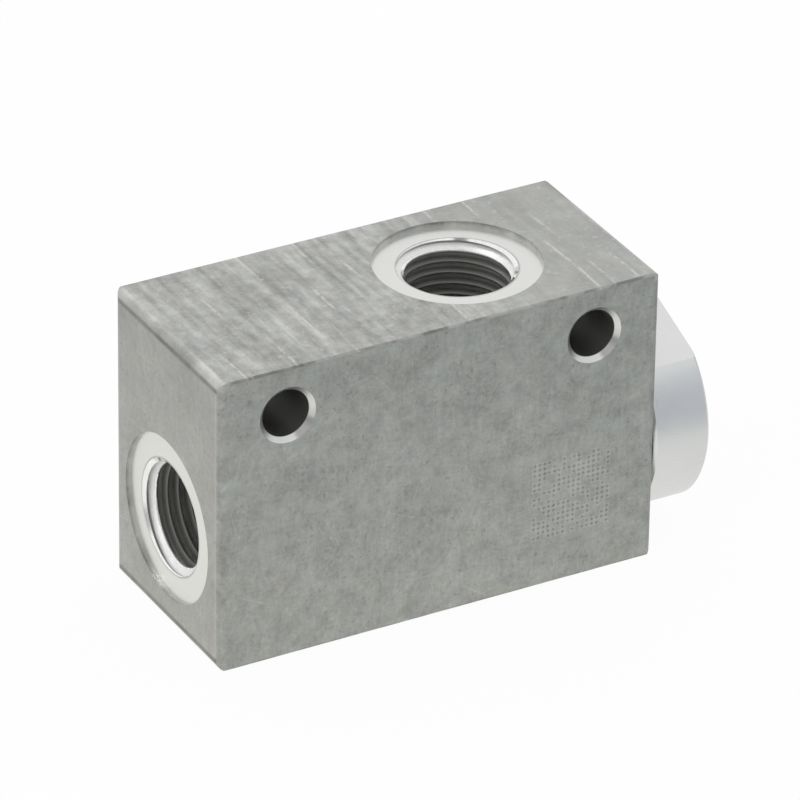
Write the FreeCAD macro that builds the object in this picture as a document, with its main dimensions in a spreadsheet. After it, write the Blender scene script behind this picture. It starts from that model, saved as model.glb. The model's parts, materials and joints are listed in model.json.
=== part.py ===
import FreeCAD, Part
import Sketcher
import math
import os

# Quick exhaust valve: a machined aluminium block with the inlet in its left end, the outlet on top
# and a screwed-in exhaust cap at its right end. A shuttle between the two seats slides in the chamber.
# The origin is the centre of the block's base face, +X points to the exhaust cap and +Z is up.

SIZES = {
    "block_length": 53.3,
    "block_width": 24.0,
    "block_height": 35.0,
    "corner_round": 1.1,
    "edge_break": 0.2,
    "mount_hole_diameter": 5.5,
    "mount_hole_spacing": 37.0,
    "mount_hole_drop": 5.65,
    "mount_hole_chamfer": 0.6,
    "port_axis_rise": 0.8,
    "outlet_offset": 8.35,
    "port_thread_diameter": 13.16,
    "port_drill_diameter": 11.45,
    "port_thread_depth": 10.5,
    "port_drill_runout": 1.4,
    "inlet_spotface_diameter": 19.0,
    "inlet_spotface_depth": 0.45,
    "outlet_spotface_diameter": 18.5,
    "outlet_spotface_depth": 0.6,
    "inlet_passage_diameter": 8.5,
    "inlet_cone_length": 0.85,
    "chamber_diameter": 17.4,
    "chamber_depth": 30.0,
    "inlet_seat_height": 0.8,
    "inlet_seat_diameter": 10.6,
    "inlet_seat_root": 0.6,
    "cap_thread_diameter": 20.0,
    "cap_bore_thread_depth": 7.2,
    "cap_bore_chamfer": 0.5,
    "cap_side_inset": 0.25,
    "cap_head_length": 7.0,
    "cap_flat_depth": 1.07,
    "cap_flats_angle": 20.9,
    "cap_edge_break": 0.35,
    "cap_thread_length": 6.9,
    "cap_pilot_length": 4.3,
    "cap_thread_chamfer": 0.6,
    "cap_fit": 0.05,
    "cap_port_chamfer": 0.4,
    "exhaust_passage_diameter": 9.2,
    "exhaust_cone_length": 0.7,
    "exhaust_seat_diameter": 11.2,
    "exhaust_seat_root_diameter": 12.4,
    "exhaust_seat_height": 1.0,
    "o_ring_cord": 1.14,
    "o_ring_groove_depth": 1.15,
    "o_ring_groove_width": 1.6,
    "o_ring_groove_setback": 0.8,
    "shuttle_travel": 2.5,
    "seat_clearance": 0.05,
    "stem_diameter": 4.0,
    "stem_fit": 0.03,
    "stem_overhang": 0.9,
    "stem_tip_chamfer": 0.4,
    "spindle_head_diameter": 6.6,
    "spindle_head_length": 1.6,
    "spindle_head_chamfer": 0.5,
    "clip_groove_diameter": 3.0,
    "clip_groove_slack": 0.1,
    "lip_seal_base": 1.8,
    "lip_seal_length": 5.0,
    "lip_seal_back_gap": 1.1,
    "lip_seal_shoulder_gap": 0.65,
    "lip_seal_shoulder_height": 0.6,
    "lip_seal_wall": 0.6,
    "lip_tip_thickness": 0.55,
    "lip_clearance": 0.05,
    "support_washer_clearance": 0.4,
    "support_washer_thickness": 0.8,
    "guide_hub_diameter": 7.2,
    "guide_flange_diameter": 11.2,
    "guide_flange_thickness": 1.0,
    "guide_wing_count": 4,
    "guide_wing_width": 2.0,
    "guide_wing_clearance": 0.15,
    "guide_wing_gap": 0.6,
    "guide_wing_chamfer": 0.6,
    "exhaust_disc_gap": 1.7,
    "exhaust_disc_thickness": 2.2,
    "retainer_diameter": 7.2,
    "retainer_thickness": 0.8,
    "clip_diameter": 6.6,
    "clip_thickness": 0.6,
    "clip_fit": 0.03,
    "clip_slot_width": 2.6,
    "clip_relief_diameter": 1.5,
    "clip_relief_spacing": 4.4,
    "clip_relief_drop": 0.66,
    "cutter_overrun": 1.0,
}

# Stations along the common axis of inlet, chamber and cap, measured from the block's middle.
LEFT_FACE = "-Sizes.block_length / 2"
RIGHT_FACE = "Sizes.block_length / 2"
CHAMBER_FLOOR = f"{RIGHT_FACE} - Sizes.chamber_depth"
INLET_SEAT = f"{CHAMBER_FLOOR} + Sizes.inlet_seat_height"
LIP_SEAL_BACK = f"{INLET_SEAT} + Sizes.seat_clearance"
WASHER_BACK = f"{LIP_SEAL_BACK} + Sizes.lip_seal_base"
GUIDE_BACK = f"{WASHER_BACK} + Sizes.support_washer_thickness"
PILOT_START = f"{RIGHT_FACE} - Sizes.cap_thread_length - Sizes.cap_pilot_length"
EXHAUST_SEAT = f"{PILOT_START} - Sizes.exhaust_seat_height"
RETAINER_BACK = f"{EXHAUST_SEAT} - Sizes.seat_clearance - Sizes.shuttle_travel"
DISC_BACK = f"{RETAINER_BACK} - Sizes.exhaust_disc_thickness"
CLIP_BACK = f"{RETAINER_BACK} + Sizes.retainer_thickness"

# The guide fills the shuttle between the seal's washer and the disc, so it follows the chamber's depth.
GUIDE_LENGTH = f"({DISC_BACK} - ({GUIDE_BACK}))"

# Sizes that follow others: the cap stays inside the block's sides, and the rubber fits the chamber.
PORT_HEIGHT = "(Sizes.block_width / 2 + Sizes.port_axis_rise)"
CAP_RADIUS = "(Sizes.block_width / 2 - Sizes.cap_side_inset)"
SEAL_BACK_RADIUS = "(Sizes.chamber_diameter / 2 - Sizes.lip_seal_back_gap)"
SEAL_SHOULDER_RADIUS = "(Sizes.chamber_diameter / 2 - Sizes.lip_seal_shoulder_gap)"
SEAL_CAVITY_RADIUS = f"({SEAL_BACK_RADIUS} - Sizes.lip_seal_wall)"
WASHER_RADIUS = f"({SEAL_CAVITY_RADIUS} - Sizes.support_washer_clearance)"
DISC_RADIUS = "(Sizes.chamber_diameter / 2 - Sizes.exhaust_disc_gap)"

# The corners of a new outline start on a circle this large, before their dimensions place them.
START_SPREAD = 5.0

doc = FreeCAD.newDocument("QuickExhaustValve")
sheet = doc.addObject("Spreadsheet::Sheet", "Sizes")
for row, (size_name, size_value) in enumerate(SIZES.items(), start=1):
    sheet.set(f"A{row}", str(size_value))
    sheet.setAlias(f"A{row}", size_name)
doc.recompute()


def radius(diameter_name):
    """The expression for half of a named diameter."""
    return f"Sizes.{diameter_name} / 2"


def new_body(label, along="0", height=PORT_HEIGHT):
    """A body whose local origin lies at a station on the common axis."""
    body = doc.addObject("PartDesign::Body", label)
    body.Label = label
    body.setExpression("Placement.Base.x", along)
    body.setExpression("Placement.Base.z", height)
    return body


def new_sketch(body, name, plane, offset=None):
    """A sketch on one of the body's own origin planes, moved in that plane by expressions."""
    sketch = body.newObject("Sketcher::SketchObject", name)
    origin_plane = [item for item in body.Origin.OriginFeatures if item.Role == plane][0]
    sketch.AttachmentSupport = [(origin_plane, "")]
    sketch.MapMode = "FlatFace"
    for path, expression in (offset or {}).items():
        sketch.setExpression(f"AttachmentOffset.{path}", expression)
    return sketch


def bind(sketch, kind, geometry, point, name, expression):
    """One dimension from the sketch's origin to a point, driven by an expression."""
    if expression == "0":
        axis = -2 if kind == "DistanceX" else -1
        sketch.addConstraint(Sketcher.Constraint("PointOnObject", geometry, point, axis))
        return
    index = sketch.addConstraint(Sketcher.Constraint(kind, -1, 1, geometry, point, 1.0))
    sketch.renameConstraint(index, name)
    sketch.setExpression(f"Constraints.{name}", expression)


def add_outline(sketch, name, corners):
    """A closed outline of straight edges whose corners are pairs of expressions."""
    first = sketch.GeometryCount
    count = len(corners)
    turns = [2 * math.pi * index / count for index in range(count)]
    spots = [FreeCAD.Vector(math.cos(turn), math.sin(turn), 0) * START_SPREAD for turn in turns]
    for index in range(count):
        sketch.addGeometry(Part.LineSegment(spots[index], spots[(index + 1) % count]), False)
    for index in range(count):
        after = first + (index + 1) % count
        sketch.addConstraint(Sketcher.Constraint("Coincident", first + index, 2, after, 1))
    for index, (across, up) in enumerate(corners):
        bind(sketch, "DistanceX", first + index, 1, f"{name}_across_{index}", across)
        bind(sketch, "DistanceY", first + index, 1, f"{name}_up_{index}", up)


def add_circle(sketch, name, across, up, size):
    """A circle from expressions for its centre and its radius."""
    geometry = sketch.addGeometry(Part.Circle(FreeCAD.Vector(1, 1, 0), FreeCAD.Vector(0, 0, 1), 1), False)
    bind(sketch, "DistanceX", geometry, 3, f"{name}_across", across)
    bind(sketch, "DistanceY", geometry, 3, f"{name}_up", up)
    index = sketch.addConstraint(Sketcher.Constraint("Radius", geometry, 1.0))
    sketch.renameConstraint(index, f"{name}_radius")
    sketch.setExpression(f"Constraints.{name}_radius", size)


def turn(body, kind, name, sketch, axis):
    """A full revolution or groove of a sketch about one of the sketch's own axes."""
    feature = body.newObject(f"PartDesign::{kind}", name)
    feature.Profile = sketch
    feature.ReferenceAxis = (sketch, [axis])
    feature.Angle = 360
    return feature


def extrude(body, kind, name, sketch, length):
    """A pad or pocket of a sketch, equally far to both sides of its plane."""
    feature = body.newObject(f"PartDesign::{kind}", name)
    feature.Profile = sketch
    feature.Midplane = True
    feature.setExpression("Length", length)
    return feature


def edges_where(feature, test):
    """The names of a feature's edges that pass a test, for fillets and chamfers."""
    return [f"Edge{index}" for index, edge in enumerate(feature.Shape.Edges, start=1) if test(edge)]


def runs_along(edge, direction):
    """True for a straight edge that is parallel to a direction."""
    if edge.Curve.TypeId != "Part::GeomLine":
        return False
    return abs(abs(edge.Curve.Direction.dot(direction)) - 1) < 1e-6


def dress(body, kind, name, base, edge_names, size_property, size):
    """A fillet or chamfer on named edges of the feature before it."""
    feature = body.newObject(f"PartDesign::{kind}", name)
    feature.Base = (base, edge_names)
    feature.setExpression(size_property, size)
    return feature


def turned_piece(label, along, corners):
    """A piece turned about the common axis, from its half section."""
    body = new_body(label, along)
    sketch = new_sketch(body, f"{label}_section", "XZ_Plane")
    add_outline(sketch, "section", corners)
    turn(body, "Revolution", f"{label}_turned", sketch, "H_Axis")
    return body


def make_valve_body():
    """The block, with its ports, chamber, inlet seat and mounting holes."""
    body = new_body("valve_body", height="0")
    half_width = radius("block_width")

    outline = new_sketch(body, "block_outline", "XZ_Plane")
    add_outline(outline, "block", [
        (LEFT_FACE, "0"),
        (RIGHT_FACE, "0"),
        (RIGHT_FACE, "Sizes.block_height"),
        (LEFT_FACE, "Sizes.block_height"),
    ])
    blank = extrude(body, "Pad", "blank", outline, "Sizes.block_width")
    doc.recompute()
    along_y = FreeCAD.Vector(0, 1, 0)
    along_z = FreeCAD.Vector(0, 0, 1)
    end_edges = edges_where(blank, lambda edge: runs_along(edge, along_y) or runs_along(edge, along_z))
    dress(body, "Fillet", "rounded_ends", blank, end_edges, "Radius", "Sizes.corner_round")

    near = f"({half_width} - Sizes.edge_break - Sizes.cutter_overrun)"
    far = f"({half_width} + Sizes.cutter_overrun)"
    broken = new_sketch(body, "broken_edge_outlines", "YZ_Plane")
    for level, base, up in (("low", "0", "+"), ("high", "Sizes.block_height", "-")):
        down = "-" if up == "+" else "+"
        for side, sign in (("front", "-"), ("back", "")):
            add_outline(broken, f"{level}_{side}", [
                (f"{sign}{near}", f"{base} {down} Sizes.cutter_overrun"),
                (f"{sign}{far}", f"{base} {down} Sizes.cutter_overrun"),
                (f"{sign}{far}", f"{base} {up} (Sizes.edge_break + Sizes.cutter_overrun)"),
            ])
    extrude(body, "Pocket", "broken_edges", broken, "Sizes.block_length + 2 * Sizes.cutter_overrun")

    port_axis = {"Base.y": PORT_HEIGHT}
    spotface_floor = f"{LEFT_FACE} + Sizes.inlet_spotface_depth"
    thread_end = f"{spotface_floor} + Sizes.port_thread_depth"
    drill_end = f"{thread_end} + Sizes.port_drill_runout"
    inlet = new_sketch(body, "inlet_section", "XZ_Plane", port_axis)
    add_outline(inlet, "inlet", [
        (f"{LEFT_FACE} - Sizes.cutter_overrun", "0"),
        (f"{LEFT_FACE} - Sizes.cutter_overrun", radius("inlet_spotface_diameter")),
        (spotface_floor, radius("inlet_spotface_diameter")),
        (spotface_floor, radius("port_thread_diameter")),
        (thread_end, radius("port_thread_diameter")),
        (thread_end, radius("port_drill_diameter")),
        (drill_end, radius("port_drill_diameter")),
        (f"{drill_end} + Sizes.inlet_cone_length", radius("inlet_passage_diameter")),
        (f"{INLET_SEAT} + Sizes.cutter_overrun", radius("inlet_passage_diameter")),
        (f"{INLET_SEAT} + Sizes.cutter_overrun", "0"),
    ])
    turn(body, "Groove", "inlet_port", inlet, "H_Axis")

    cap_bore_end = f"{RIGHT_FACE} - Sizes.cap_bore_thread_depth"
    step = f"({radius('cap_thread_diameter')} - {radius('chamber_diameter')})"
    chamber = new_sketch(body, "chamber_section", "XZ_Plane", port_axis)
    add_outline(chamber, "chamber", [
        (f"{RIGHT_FACE} + Sizes.cutter_overrun", "0"),
        (f"{RIGHT_FACE} + Sizes.cutter_overrun",
         f"{radius('cap_thread_diameter')} + Sizes.cap_bore_chamfer + Sizes.cutter_overrun"),
        (f"{RIGHT_FACE} - Sizes.cap_bore_chamfer", radius("cap_thread_diameter")),
        (cap_bore_end, radius("cap_thread_diameter")),
        (f"{cap_bore_end} - {step}", radius("chamber_diameter")),
        (CHAMBER_FLOOR, radius("chamber_diameter")),
        (CHAMBER_FLOOR, f"{radius('inlet_seat_diameter')} + Sizes.inlet_seat_root"),
        (INLET_SEAT, radius("inlet_seat_diameter")),
        (INLET_SEAT, "0"),
    ])
    turn(body, "Groove", "chamber", chamber, "H_Axis")

    outlet_axis = {"Base.x": "Sizes.outlet_offset"}
    outlet_floor = "Sizes.block_height - Sizes.outlet_spotface_depth"
    outlet_thread_end = f"{outlet_floor} - Sizes.port_thread_depth"
    outlet = new_sketch(body, "outlet_section", "XZ_Plane", outlet_axis)
    add_outline(outlet, "outlet", [
        ("0", PORT_HEIGHT),
        (radius("port_drill_diameter"), PORT_HEIGHT),
        (radius("port_drill_diameter"), outlet_thread_end),
        (radius("port_thread_diameter"), outlet_thread_end),
        (radius("port_thread_diameter"), outlet_floor),
        (radius("outlet_spotface_diameter"), outlet_floor),
        (radius("outlet_spotface_diameter"), "Sizes.block_height + Sizes.cutter_overrun"),
        ("0", "Sizes.block_height + Sizes.cutter_overrun"),
    ])
    turn(body, "Groove", "outlet_port", outlet, "V_Axis")

    hole_height = "Sizes.block_height - Sizes.mount_hole_drop"
    holes = new_sketch(body, "mount_hole_circles", "XZ_Plane")
    for side, sign in (("left", "-"), ("right", "")):
        add_circle(holes, side, f"{sign}Sizes.mount_hole_spacing / 2", hole_height,
                   radius("mount_hole_diameter"))
    drilled = extrude(body, "Pocket", "mount_holes", holes, "Sizes.block_width + 2 * Sizes.cutter_overrun")
    doc.recompute()

    def is_hole_mouth(edge):
        spans = (edge.BoundBox.XLength, edge.BoundBox.ZLength)
        is_round = all(abs(span - SIZES["mount_hole_diameter"]) < 0.01 for span in spans)
        return is_round and edge.BoundBox.YLength < 0.01

    mouths = edges_where(drilled, is_hole_mouth)
    dress(body, "Chamfer", "mount_hole_mouths", drilled, mouths, "Size", "Sizes.mount_hole_chamfer")
    return body


def make_exhaust_cap():
    """The screwed-in cap, with the exhaust port, the exhaust seat and two spanner flats."""
    thread_start = "-Sizes.cap_thread_length"
    pilot_start = f"{thread_start} - Sizes.cap_pilot_length"
    seat = f"{pilot_start} - Sizes.exhaust_seat_height"
    pilot_radius = f"{radius('chamber_diameter')} - Sizes.cap_fit"
    groove_start = f"{pilot_start} + Sizes.o_ring_groove_setback"
    groove_end = f"{groove_start} + Sizes.o_ring_groove_width"
    groove_floor = f"{radius('chamber_diameter')} - Sizes.o_ring_groove_depth"
    shank_radius = f"{radius('cap_thread_diameter')} - Sizes.cap_fit"
    port_mouth = "Sizes.cap_head_length - Sizes.cap_port_chamfer"
    port_end = "Sizes.cap_head_length - Sizes.port_thread_depth"
    drill_end = f"{port_end} - Sizes.port_drill_runout"
    body = turned_piece("exhaust_cap", RIGHT_FACE, [
        (seat, radius("exhaust_passage_diameter")),
        (seat, radius("exhaust_seat_diameter")),
        (pilot_start, radius("exhaust_seat_root_diameter")),
        (pilot_start, pilot_radius),
        (groove_start, pilot_radius),
        (groove_start, groove_floor),
        (groove_end, groove_floor),
        (groove_end, pilot_radius),
        (thread_start, pilot_radius),
        (thread_start, f"{shank_radius} - Sizes.cap_thread_chamfer"),
        (f"{thread_start} + Sizes.cap_thread_chamfer", shank_radius),
        ("0", shank_radius),
        ("0", f"{CAP_RADIUS} - Sizes.cap_edge_break"),
        ("Sizes.cap_edge_break", CAP_RADIUS),
        ("Sizes.cap_head_length - Sizes.cap_edge_break", CAP_RADIUS),
        ("Sizes.cap_head_length", f"{CAP_RADIUS} - Sizes.cap_edge_break"),
        ("Sizes.cap_head_length", f"{radius('port_thread_diameter')} + Sizes.cap_port_chamfer"),
        (port_mouth, radius("port_thread_diameter")),
        (port_end, radius("port_thread_diameter")),
        (port_end, radius("port_drill_diameter")),
        (drill_end, radius("port_drill_diameter")),
        (f"{drill_end} - Sizes.exhaust_cone_length", radius("exhaust_passage_diameter")),
    ])
    flats = new_sketch(body, "flats_outline", "YZ_Plane", {"Rotation.Angle": "Sizes.cap_flats_angle"})
    reach = f"({CAP_RADIUS} + Sizes.cutter_overrun)"
    for side, sign in (("upper", ""), ("lower", "-")):
        flat = f"{sign}({CAP_RADIUS} - Sizes.cap_flat_depth)"
        outside = f"{sign}{reach}"
        corners = [(f"-{reach}", flat), (reach, flat), (reach, outside), (f"-{reach}", outside)]
        add_outline(flats, side, corners)
    extrude(body, "Pocket", "spanner_flats", flats, "2 * (Sizes.cap_head_length + Sizes.cutter_overrun)")
    return body


def make_cap_o_ring():
    """The ring in the cap's groove, which seals it in the chamber's bore."""
    groove_middle = f"{PILOT_START} + Sizes.o_ring_groove_setback + Sizes.o_ring_groove_width / 2"
    middle = f"{radius('chamber_diameter')} - Sizes.o_ring_groove_depth / 2"
    far = radius("o_ring_cord")
    near = f"{far} * tan(30 deg)"
    side = f"{far} / cos(30 deg)"
    around = [(side, "0"), (near, far), (f"-{near}", far),
              (f"-{side}", "0"), (f"-{near}", f"-{far}"), (near, f"-{far}")]
    corners = [(across, f"{middle} + {up}") for across, up in around]
    return turned_piece("cap_o_ring", groove_middle, corners)


def make_spindle():
    """The headed pin that the shuttle's pieces are stacked on, with the clip's groove."""
    stack = f"({CLIP_BACK} - ({LIP_SEAL_BACK}))"
    groove_end = f"{stack} + Sizes.clip_thickness + Sizes.clip_groove_slack"
    tip = f"{groove_end} + Sizes.stem_overhang"
    return turned_piece("spindle", LIP_SEAL_BACK, [
        ("-Sizes.spindle_head_length", "0"),
        ("-Sizes.spindle_head_length", f"{radius('spindle_head_diameter')} - Sizes.spindle_head_chamfer"),
        ("-Sizes.spindle_head_length + Sizes.spindle_head_chamfer", radius("spindle_head_diameter")),
        ("0", radius("spindle_head_diameter")),
        ("0", radius("stem_diameter")),
        (stack, radius("stem_diameter")),
        (stack, radius("clip_groove_diameter")),
        (groove_end, radius("clip_groove_diameter")),
        (groove_end, radius("stem_diameter")),
        (f"{tip} - Sizes.stem_tip_chamfer", radius("stem_diameter")),
        (tip, f"{radius('stem_diameter')} - Sizes.stem_tip_chamfer"),
        (tip, "0"),
    ])


def make_lip_seal():
    """The cup seal: its back closes the inlet seat and its lip rides on the chamber's wall."""
    bore = f"{radius('stem_diameter')} + Sizes.stem_fit"
    lip_radius = f"{radius('chamber_diameter')} - Sizes.lip_clearance"
    return turned_piece("lip_seal", LIP_SEAL_BACK, [
        ("0", bore),
        ("0", SEAL_BACK_RADIUS),
        ("Sizes.lip_seal_shoulder_height", SEAL_SHOULDER_RADIUS),
        ("Sizes.lip_seal_length", lip_radius),
        ("Sizes.lip_seal_length", f"{lip_radius} - Sizes.lip_tip_thickness"),
        ("Sizes.lip_seal_base", SEAL_CAVITY_RADIUS),
        ("Sizes.lip_seal_base", bore),
    ])


def make_flat_ring(label, along, outside, thickness):
    """A flat ring on the stem: a metal washer, or the rubber disc that closes the exhaust seat."""
    bore = f"{radius('stem_diameter')} + Sizes.stem_fit"
    return turned_piece(label, along, [
        ("0", bore),
        ("0", outside),
        (thickness, outside),
        (thickness, bore),
    ])


def make_guide():
    """The winged guide that centres the shuttle and lets air pass between its wings."""
    bore = f"{radius('stem_diameter')} + Sizes.stem_fit"
    flange_start = f"{GUIDE_LENGTH} - Sizes.guide_flange_thickness"
    body = turned_piece("winged_guide", GUIDE_BACK, [
        ("0", bore),
        ("0", radius("guide_hub_diameter")),
        (flange_start, radius("guide_hub_diameter")),
        (flange_start, radius("guide_flange_diameter")),
        (GUIDE_LENGTH, radius("guide_flange_diameter")),
        (GUIDE_LENGTH, bore),
    ])
    wing_start = ("Sizes.lip_seal_length - Sizes.lip_seal_base - Sizes.support_washer_thickness"
                  " + Sizes.guide_wing_gap")
    tip = f"{radius('chamber_diameter')} - Sizes.guide_wing_clearance"
    root = f"({radius('guide_hub_diameter')} + {bore}) / 2"
    outline = new_sketch(body, "wing_outline", "XZ_Plane")
    add_outline(outline, "wing", [
        (wing_start, root),
        (wing_start, f"{tip} - Sizes.guide_wing_chamfer"),
        (f"{wing_start} + Sizes.guide_wing_chamfer", tip),
        (f"{GUIDE_LENGTH} - Sizes.guide_wing_chamfer", tip),
        (GUIDE_LENGTH, f"{tip} - Sizes.guide_wing_chamfer"),
        (GUIDE_LENGTH, root),
    ])
    wing = extrude(body, "Pad", "wing", outline, "Sizes.guide_wing_width")
    doc.recompute()
    wings = body.newObject("PartDesign::PolarPattern", "wings")
    wings.Originals = [wing]
    wings.Axis = (outline, ["H_Axis"])
    wings.Angle = 360
    wings.setExpression("Occurrences", "Sizes.guide_wing_count")
    body.Tip = wings
    return body


def make_retaining_clip():
    """The spring steel clip in the stem's groove, open at one side."""
    body = new_body("retaining_clip", CLIP_BACK)
    plate = new_sketch(body, "clip_plate", "YZ_Plane", {"Base.z": "Sizes.clip_thickness / 2"})
    add_circle(plate, "rim", "0", "0", radius("clip_diameter"))
    add_circle(plate, "bore", "0", "0", f"{radius('clip_groove_diameter')} + Sizes.clip_fit")
    extrude(body, "Pad", "clip_ring", plate, "Sizes.clip_thickness")
    slot_half = radius("clip_slot_width")
    openings = new_sketch(body, "clip_openings", "YZ_Plane")
    add_outline(openings, "slot", [
        (f"-{slot_half}", "0"),
        (slot_half, "0"),
        (slot_half, radius("clip_diameter")),
        (f"-{slot_half}", radius("clip_diameter")),
    ])
    for side, sign in (("left", "-"), ("right", "")):
        add_circle(openings, side, f"{sign}Sizes.clip_relief_spacing / 2", "-Sizes.clip_relief_drop",
                   radius("clip_relief_diameter"))
    extrude(body, "Pocket", "clip_cuts", openings, "2 * Sizes.clip_thickness + Sizes.cutter_overrun")
    return body


pieces = [
    make_valve_body(),
    make_exhaust_cap(),
    make_cap_o_ring(),
    make_spindle(),
    make_lip_seal(),
    make_flat_ring("support_washer", WASHER_BACK, WASHER_RADIUS, "Sizes.support_washer_thickness"),
    make_guide(),
    make_flat_ring("exhaust_disc", DISC_BACK, DISC_RADIUS, "Sizes.exhaust_disc_thickness"),
    make_flat_ring("disc_retainer", RETAINER_BACK, radius("retainer_diameter"), "Sizes.retainer_thickness"),
    make_retaining_clip(),
]
doc.recompute()

for item in doc.Objects:
    if "Invalid" in item.State or "Error" in item.State:
        raise RuntimeError(f"{item.Name} did not compute: {item.State}")
    if item.TypeId in ("PartDesign::Pocket", "PartDesign::Groove"):
        if item.Shape.Volume >= item.BaseFeature.Shape.Volume:
            raise RuntimeError(f"{item.Name} cuts nothing")
for piece in pieces:
    if piece.Shape.isNull() or not piece.Shape.isValid() or len(piece.Shape.Solids) != 1:
        raise RuntimeError(f"{piece.Label} is not one valid solid")

os.makedirs("parts", exist_ok=True)
for piece in pieces:
    piece.Shape.exportStep(f"parts/{piece.Label}.step")
    box = piece.Shape.BoundBox
    print(f"{piece.Label}: {piece.Shape.Volume:.1f} mm3, x {box.XMin:.2f} to {box.XMax:.2f},"
          f" y {box.YMin:.2f} to {box.YMax:.2f}, z {box.ZMin:.2f} to {box.ZMax:.2f}")
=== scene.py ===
import json
import math

import bmesh
import bpy
from mathutils import Matrix, Vector


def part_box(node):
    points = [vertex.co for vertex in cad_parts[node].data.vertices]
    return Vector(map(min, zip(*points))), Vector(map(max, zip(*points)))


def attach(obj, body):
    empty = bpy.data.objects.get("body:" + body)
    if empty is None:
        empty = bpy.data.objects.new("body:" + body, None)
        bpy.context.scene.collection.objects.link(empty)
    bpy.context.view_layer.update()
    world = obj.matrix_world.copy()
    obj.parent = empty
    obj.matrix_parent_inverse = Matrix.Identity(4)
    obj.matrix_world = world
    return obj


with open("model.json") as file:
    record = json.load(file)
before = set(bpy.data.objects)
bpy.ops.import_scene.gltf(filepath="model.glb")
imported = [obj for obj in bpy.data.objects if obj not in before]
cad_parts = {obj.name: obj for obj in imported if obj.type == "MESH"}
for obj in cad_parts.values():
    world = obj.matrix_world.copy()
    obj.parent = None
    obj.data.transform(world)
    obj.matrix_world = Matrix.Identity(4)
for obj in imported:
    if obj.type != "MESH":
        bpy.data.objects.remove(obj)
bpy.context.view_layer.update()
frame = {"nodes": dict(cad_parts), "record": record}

bl_info = {
    "name": "Quick exhaust valve looks",
    "version": (1, 0, 0),
    "blender": (4, 5, 0),
    "location": "View3D > Sidebar > Valve",
    "description": "Cuts the port threads and finishes the surfaces of a quick exhaust valve",
    "category": "Object",
}

# The frame's own sizes, in metres.
NODES = frame["nodes"]
MOUNTS = {mount["name"]: mount for mount in frame["record"]["mounts"]}
BLOCK_LOW, BLOCK_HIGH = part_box("valve_body")
CAP_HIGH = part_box("exhaust_cap")[1]
MM = 0.001

# The same sizes in millimetres, which is what the materials count in.
HALF_LENGTH = BLOCK_HIGH[0] / MM
HALF_WIDTH = BLOCK_HIGH[1] / MM
HEIGHT = BLOCK_HIGH[2] / MM
PORT_HEIGHT = MOUNTS["inlet_port"]["pos_m"][2] / MM
OUTLET_X = MOUNTS["outlet_port"]["pos_m"][0] / MM
HOLE_X = MOUNTS["mounting_holes"]["dims"]["spacing_x_mm"] / 2
HOLE_Z = MOUNTS["mounting_holes"]["pos_m"][2] / MM
HOLE_RADIUS = MOUNTS["mounting_holes"]["dims"]["hole_r_mm"]
THREAD_RADIUS = MOUNTS["inlet_port"]["dims"]["r_mm"]
CAP_FACE = CAP_HIGH[0] / MM
CAP_RADIUS = CAP_HIGH[1] / MM

# Sizes that the frame doesn't state, in millimetres.
CORNER = 1.1  # rounding of the edges at the block's ends
LONG_CORNER = 0.2  # the broken edges along its length
CUT_DEPTH = 0.06  # what lies further inside the block than this was cut into it
SPOTFACE_DEPTH = 0.7  # the deeper spotface, with a little to spare
OUTLET_FACES = 1.0  # what was cut no further than this from the top belongs to the outlet
BEVEL = 0.7  # width of the cross holes' bevels, with a little to spare
ON_WALL = 0.03  # how near to the radius of a cross hole its wall lies
OUTLET_ROOM = 1.2  # the outlet's spotface, and a little room below its thread
OUTLET_LOW = HEIGHT - MOUNTS["outlet_port"]["dims"]["length_mm"] - OUTLET_ROOM
CALM_X, ROUGH_X = 15.0, 3.0  # the marks on the top grow from weak to strong between these

# A normal with more than this along an axis belongs to a face of the block, or of a turned piece.
BLOCK_FACING = 0.7
TURNED_FACING = 0.9


class ThreadSizes(bpy.types.PropertyGroup):
    """The form of the port threads."""

    pitch: bpy.props.FloatProperty(
        name="Pitch", description="Distance from one crest to the next",
        default=1.337 * MM, unit="LENGTH", precision=5)
    crest_radius: bpy.props.FloatProperty(
        name="Crest radius", description="Radius of the hole between the crests",
        default=5.7225 * MM, unit="LENGTH", precision=5)
    flank_angle: bpy.props.FloatProperty(
        name="Flank angle", description="Slope of each flank from the plane across the axis",
        default=math.radians(27.5), unit="ROTATION")
    wall_overlap: bpy.props.FloatProperty(
        name="Wall overlap", description="How far a ridge's foot reaches into the wall",
        default=0.04 * MM, unit="LENGTH", precision=5)
    mouth_radius: bpy.props.FloatProperty(
        name="Mouth radius", description="Radius of the countersink where it meets the face",
        default=6.54 * MM, unit="LENGTH", precision=5)
    steps: bpy.props.IntProperty(
        name="Steps", description="Faces in one turn of the helix", default=80, min=24)


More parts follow.
